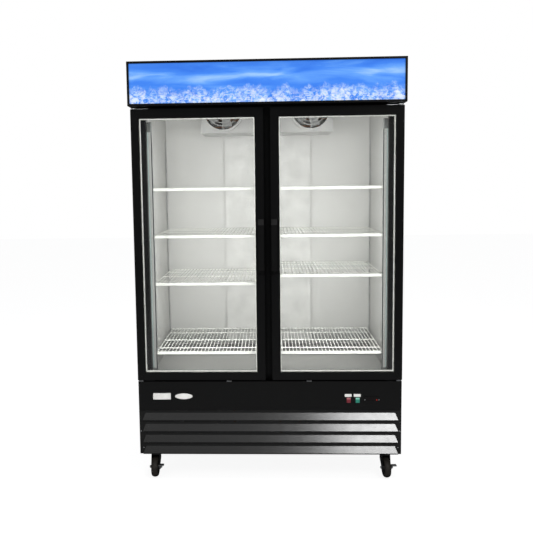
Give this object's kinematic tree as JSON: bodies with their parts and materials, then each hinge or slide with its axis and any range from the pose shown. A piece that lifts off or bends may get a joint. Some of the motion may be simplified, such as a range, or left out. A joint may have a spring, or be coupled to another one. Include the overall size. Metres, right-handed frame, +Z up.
{
  "type": "glass door merchandiser",
  "caption": "Upright two-door glass merchandiser refrigerator on casters, with wire shelves, a lit header sign, louvred base and working doors, casters, fans and switches.",
  "frame": {"origin": "on the floor under the centre of the object's bounding box, at the bottom of the wheels", "axes": "+Z up; +X to the right seen from the front; the doors and header face -Y and the back is at +Y"},
  "size_m": [1.312, 0.778, 2.063],
  "materials": {
    "black_steel": "satin black powder coat",
    "zinc_steel": "zinc plated",
    "white_liner": "semi-gloss white coat",
    "foam": "closed-cell foam",
    "black_trim": "satin moulded black",
    "sign_face": "backlit translucent sheet",
    "lamp": "diffuse lamp cover",
    "shelf_coating": "white plastic coat on wire",
    "support_steel": "satin",
    "fin_aluminium": "mill finish",
    "compressor_paint": "gloss black paint",
    "copper": "drawn copper tube",
    "door_glass": "clear",
    "spacer": "satin",
    "gasket_rubber": "soft matt",
    "caster_steel": "black coat",
    "caster_tyre": "matt rubber",
    "brake_zinc": "zinc plated",
    "rocker_red": "translucent red",
    "rocker_green": "translucent green",
    "button_plastic": "moulded",
    "blank_plate": "plain printed plate",
    "motor_paint": "satin grey",
    "fan_plastic": "moulded grey",
    "fan_aluminium": "pressed"
  },
  "bodies": {
    "cabinet": {"outer_shell": "black_steel", "base_pan": "zinc_steel", "inner_liner": "white_liner", "foam_insulation": "foam", "front_frame": "black_trim", "center_mullion": "black_trim", "header_housing": "black_steel", "header_graphic": "sign_face", "header_light": "lamp", "hinge_brackets": "zinc_steel", "led_lights": "lamp", "shelf_supports": "support_steel", "shelves_left": "shelf_coating", "shelves_right": "shelf_coating", "evaporator_cover": "white_liner", "evaporator_coil": "fin_aluminium", "fan_motors": "motor_paint", "air_duct_panel": "white_liner", "control_panel": "black_steel", "front_grille": "black_steel", "screws_and_bolts": "zinc_steel", "rear_grille": "black_steel", "compressor": "compressor_paint", "condenser_coil": "fin_aluminium", "condenser_shroud": "black_steel", "refrigerant_pipes": "copper", "drain_pan": "zinc_steel", "switch_housings": "black_trim", "temperature_controller": "black_trim", "badge_plates": "blank_plate", "caster_plates": "caster_steel", "cord_gland": "black_trim"},
    "door_left": {"door_frame_left": "black_trim", "door_glass_left": "door_glass", "glass_spacer_left": "spacer", "door_gasket_left": "gasket_rubber", "door_handle_left": "black_trim"},
    "door_right": {"door_frame_right": "black_trim", "door_glass_right": "door_glass", "glass_spacer_right": "spacer", "door_gasket_right": "gasket_rubber", "door_handle_right": "black_trim"},
    "fork_fl": {"caster_fork_fl": "caster_steel"},
    "wheel_fl": {"caster_wheel_fl": "caster_tyre"},
    "brake_fl": {"caster_brake_fl": "brake_zinc"},
    "fork_fr": {"caster_fork_fr": "caster_steel"},
    "wheel_fr": {"caster_wheel_fr": "caster_tyre"},
    "brake_fr": {"caster_brake_fr": "brake_zinc"},
    "fork_rl": {"caster_fork_rl": "caster_steel"},
    "wheel_rl": {"caster_wheel_rl": "caster_tyre"},
    "fork_rr": {"caster_fork_rr": "caster_steel"},
    "wheel_rr": {"caster_wheel_rr": "caster_tyre"},
    "power_rocker": {"power_rocker": "rocker_red"},
    "light_rocker": {"light_rocker": "rocker_green"},
    "set_button": {"set_button": "button_plastic"},
    "down_button": {"down_button": "button_plastic"},
    "up_button": {"up_button": "button_plastic"},
    "evaporator_fan_left": {"evaporator_fan_left": "fan_plastic"},
    "evaporator_fan_right": {"evaporator_fan_right": "fan_plastic"},
    "condenser_fan": {"condenser_fan": "fan_aluminium"}
  },
  "joints": [
    {"name": "left_door_hinge", "type": "hinge", "parent": "cabinet", "child": "door_left", "pos_m": [-0.639, -0.3265, 1.182], "axis": [0, 0, -1], "range_deg": [0, 110], "stiffness_Nm_per_rad": 1.2, "springref_deg": -20.05},
    {"name": "right_door_hinge", "type": "hinge", "parent": "cabinet", "child": "door_right", "pos_m": [0.639, -0.3265, 1.182], "axis": [0, 0, 1], "range_deg": [0, 110], "stiffness_Nm_per_rad": 1.2, "springref_deg": -20.05},
    {"name": "swivel_fl", "type": "hinge", "parent": "cabinet", "child": "fork_fl", "pos_m": [-0.585, -0.265, 0.125], "axis": [0, 0, 1], "continuous": true},
    {"name": "roll_fl", "type": "hinge", "parent": "fork_fl", "child": "wheel_fl", "pos_m": [-0.585, -0.295, 0.05], "axis": [1, 0, 0], "continuous": true},
    {"name": "brake_pedal_fl", "type": "hinge", "parent": "fork_fl", "child": "brake_fl", "pos_m": [-0.585, -0.295, 0.05], "axis": [1, 0, 0], "range_deg": [0, 24]},
    {"name": "swivel_fr", "type": "hinge", "parent": "cabinet", "child": "fork_fr", "pos_m": [0.585, -0.265, 0.125], "axis": [0, 0, 1], "continuous": true},
    {"name": "roll_fr", "type": "hinge", "parent": "fork_fr", "child": "wheel_fr", "pos_m": [0.58709, -0.29493, 0.05], "axis": [0.9976, 0.0698, 0], "continuous": true},
    {"name": "brake_pedal_fr", "type": "hinge", "parent": "fork_fr", "child": "brake_fr", "pos_m": [0.58709, -0.29493, 0.05], "axis": [0.9976, 0.0698, 0], "range_deg": [0, 24]},
    {"name": "swivel_rl", "type": "hinge", "parent": "cabinet", "child": "fork_rl", "pos_m": [-0.585, 0.301, 0.125], "axis": [0, 0, 1], "continuous": true},
    {"name": "roll_rl", "type": "hinge", "parent": "fork_rl", "child": "wheel_rl", "pos_m": [-0.59526, 0.27281, 0.05], "axis": [0.9397, -0.342, 0], "continuous": true},
    {"name": "swivel_rr", "type": "hinge", "parent": "cabinet", "child": "fork_rr", "pos_m": [0.585, 0.301, 0.125], "axis": [0, 0, 1], "continuous": true},
    {"name": "roll_rr", "type": "hinge", "parent": "fork_rr", "child": "wheel_rr", "pos_m": [0.6, 0.27502, 0.05], "axis": [0.866, 0.5, 0], "continuous": true},
    {"name": "power_rocker_tilt", "type": "hinge", "parent": "cabinet", "child": "power_rocker", "pos_m": [0.3925, -0.34, 0.4135], "axis": [1, 0, 0], "range_deg": [0, 18]},
    {"name": "light_rocker_tilt", "type": "hinge", "parent": "cabinet", "child": "light_rocker", "pos_m": [0.4365, -0.34, 0.4135], "axis": [1, 0, 0], "range_deg": [0, 18]},
    {"name": "set_button_press", "type": "slide", "parent": "cabinet", "child": "set_button", "axis": [0, 1, 0], "range_m": [0, 0.001], "stiffness_N_per_m": 300, "springref_m": -0.001},
    {"name": "down_button_press", "type": "slide", "parent": "cabinet", "child": "down_button", "axis": [0, 1, 0], "range_m": [0, 0.001], "stiffness_N_per_m": 300, "springref_m": -0.001},
    {"name": "up_button_press", "type": "slide", "parent": "cabinet", "child": "up_button", "axis": [0, 1, 0], "range_m": [0, 0.001], "stiffness_N_per_m": 300, "springref_m": -0.001},
    {"name": "evaporator_fan_left_spin", "type": "hinge", "parent": "cabinet", "child": "evaporator_fan_left", "pos_m": [-0.229, -0.023, 1.864], "axis": [0, 1, 0], "continuous": true},
    {"name": "evaporator_fan_right_spin", "type": "hinge", "parent": "cabinet", "child": "evaporator_fan_right", "pos_m": [0.229, -0.023, 1.864], "axis": [0, 1, 0], "continuous": true},
    {"name": "condenser_fan_spin", "type": "hinge", "parent": "cabinet", "child": "condenser_fan", "pos_m": [0.33, -0.144, 0.314], "axis": [0, 1, 0], "continuous": true}
  ]
}
